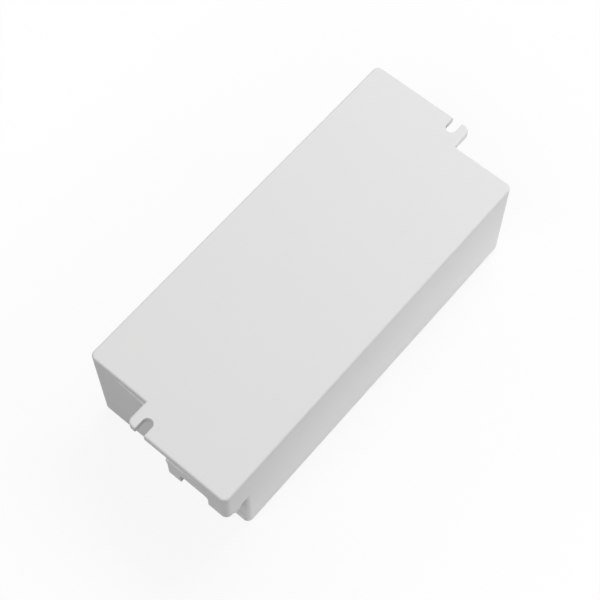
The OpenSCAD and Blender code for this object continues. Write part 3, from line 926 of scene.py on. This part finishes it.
@dataclass(frozen=True)
class Lamp:
    """One soft box."""

    name: str
    place: Point
    size: Span
    power: float
    aim: Point = (0.0, 0.0, 0.02)

    def light(self) -> None:
        """Hang the lamp."""
        data = bpy.data.lights.new(self.name, "AREA")
        data.shape = "RECTANGLE"
        data.size, data.size_y = self.size
        data.energy = self.power
        lamp = bpy.data.objects.new(self.name, data)
        lamp.location = self.place
        ahead = Vector(self.aim) - Vector(self.place)
        lamp.rotation_euler = ahead.to_track_quat("-Z", "Y").to_euler()
        bpy.context.scene.collection.objects.link(lamp)
        log.info("lamp %s", self.name)


@dataclass
class Studio:
    """White floor, soft light, and the camera of the photograph."""

    # The camera, fitted to the part's straight edges in the photograph.
    camera_mm: Point = (-130.761, -109.806, 364.269)
    forward: Point = (0.33342, 0.28559, -0.89848)
    up: Point = (0.68569, 0.58062, 0.43901)
    focal_px: float = 1500.76
    frame_px: int = 600
    sensor_mm: float = 36.0
    clip: Span = (0.01, 20.0)
    # The floor, its share of plain white beside the part and away from it, and the
    # distances between which the one turns into the other.
    floor_radius: float = 4.0
    floor_sides: int = 96
    floor_gap_mm: float = 0.05
    floor_white: Span = (0.86, 0.985)
    shadow_mm: Span = (10.0, 90.0)
    fibre_mm: float = 0.8
    fibre_shade: float = 0.99
    floor_seen: Colour = (0.95, 0.95, 0.95)
    # The bright sheet that lights the part's near side; the camera sees plain paper there.
    floor_near: Colour = (0.90, 0.90, 0.90)
    floor_far: Colour = (0.20, 0.20, 0.20)
    sheet_at_mm: Span = (15.0, -50.0)
    sheet_mm: Span = (55.0, 15.0)
    fade_mm: Span = (5.0, 70.0)
    # The room's even light and the soft boxes.
    room: Colour = (1.0, 1.0, 1.0)
    ambient: float = 0.28
    lamps: Sequence[Lamp] = (
        Lamp("output_end_box", (0.35, 0.00, 0.50), (0.30, 0.30), 1.36),
        Lamp("input_end_box", (-0.35, 0.00, 0.50), (0.30, 0.30), 0.92),
        Lamp("far_side_fill", (0.30, 0.30, 0.45), (0.30, 0.30), 0.45),
        Lamp("near_side_fill", (0.25, -0.35, 0.10), (0.30, 0.15), 0.52),
    )

    def build(self) -> None:
        """Lay the floor, hang the lamps and set the camera."""
        self.lay_floor()
        self.fill_room()
        for lamp in self.lamps:
            lamp.light()
        self.set_camera()
        bpy.context.scene.view_settings.view_transform = "Standard"

    def lay_floor(self) -> None:
        """Make a round white floor just under the part."""
        mesh = bpy.data.meshes.new("studio_floor")
        sheet = bmesh.new()
        bmesh.ops.create_circle(
            sheet, cap_ends=True, segments=self.floor_sides, radius=self.floor_radius
        )
        sheet.to_mesh(mesh)
        sheet.free()
        floor = bpy.data.objects.new("studio_floor", mesh)
        floor.location.z = -self.floor_gap_mm * MM
        bpy.context.scene.collection.objects.link(floor)
        mesh.materials.append(self.paper())
        log.info("studio_floor")

    def paper(self) -> bpy.types.Material:
        """White paper that keeps the part's shadow and throws light on its near side.

        Returns:
            The floor's material.
        """
        material = bpy.data.materials.new("white_paper_floor")
        material.use_nodes = True
        graph = Graph(material.node_tree)
        fibre = graph.noise(self.fibre_mm)
        fade = self.outside(graph, self.sheet_at_mm, self.sheet_mm, self.fade_mm)
        thrown = graph.blend(fade, self.floor_near, self.floor_far)
        seen = self.seen_directly(graph)
        woven = graph.blend(fibre, shade(self.floor_seen, self.fibre_shade), self.floor_seen)
        tone = graph.blend(seen, thrown, woven)
        low, high = cad_box
        foot_mm = [(top - bottom) / 2.0 / MM for bottom, top in zip(low, high)]
        clear = self.outside(graph, (0.0, 0.0), foot_mm, self.shadow_mm)
        least, most = self.floor_white
        share = seen * (least + clear * (most - least))
        matt = graph.node("ShaderNodeBsdfDiffuse", inputs={"Color": tone})
        bright = graph.node("ShaderNodeEmission")
        mixed = graph.node("ShaderNodeMixShader", inputs={0: share, 1: matt, 2: bright})
        graph.node("ShaderNodeOutputMaterial", inputs={"Surface": mixed})
        return material

    def outside(
        self, graph: Graph, middle_mm: Sequence[float], half_mm: Sequence[float], fade_mm: Span
    ) -> Signal:
        """How far a place on the floor is outside a rectangle.

        Args:
            graph: The floor's graph.
            middle_mm: Middle of the rectangle along X and Y.
            half_mm: Half its sides along X and Y.
            fade_mm: Distances at which the result leaves 0 and reaches 1.

        Returns:
            0 near the rectangle, 1 away from it.
        """
        off_x, off_y = (
            ((graph.along(axis) - middle * MM).size() - half * MM).highest(0.0)
            for axis, middle, half in zip((Axis.X, Axis.Y), middle_mm, half_mm)
        )
        away = (off_x**2.0 + off_y**2.0) ** 0.5
        return away.step(fade_mm[0] * MM, fade_mm[1] * MM)

    def seen_directly(self, graph: Graph) -> Signal:
        """Whether a ray shows the background.

        Args:
            graph: Material or world graph.

        Returns:
            1 for camera, mirror and glass rays, else 0.
        """
        seen = graph.node("ShaderNodeLightPath", output="Is Camera Ray")
        mirrored = graph.node("ShaderNodeLightPath", output="Is Glossy Ray")
        through = graph.node("ShaderNodeLightPath", output="Is Transmission Ray")
        return seen.highest(mirrored).highest(through)

    def fill_room(self) -> None:
        """Fill the room with even light that looks white."""
        world = bpy.data.worlds.new("white_room")
        world.use_nodes = True
        bpy.context.scene.world = world
        graph = Graph(world.node_tree)
        strength = self.ambient + self.seen_directly(graph) * (1.0 - self.ambient)
        glow = {"Color": (*self.room, 1.0), "Strength": strength}
        background = graph.node("ShaderNodeBackground", inputs=glow)
        graph.node("ShaderNodeOutputWorld", inputs={"Surface": background})

    def set_camera(self) -> None:
        """Put the camera where the photograph was taken from."""
        data = bpy.data.cameras.new("photo_camera")
        data.sensor_width = self.sensor_mm
        data.lens = self.focal_px * self.sensor_mm / self.frame_px
        data.clip_start, data.clip_end = self.clip
        camera = bpy.data.objects.new("photo_camera", data)
        ahead = Vector(self.forward).normalized()
        right = ahead.cross(Vector(self.up)).normalized()
        turn = Matrix((right, right.cross(ahead), -ahead)).transposed()
        camera.matrix_world = Matrix.Translation(Vector(self.camera_mm) * MM) @ turn.to_4x4()
        bpy.context.scene.collection.objects.link(camera)
        bpy.context.scene.camera = camera


def main() -> None:
    """Build the driver's parts in order, then the studio."""
    logging.basicConfig(level=logging.INFO, format="%(name)s: %(message)s")
    for part in (CaseShell(), WiringEnds(), DriverBoard(), Studio()):
        part.build()


if __name__ == "__main__":
    main()
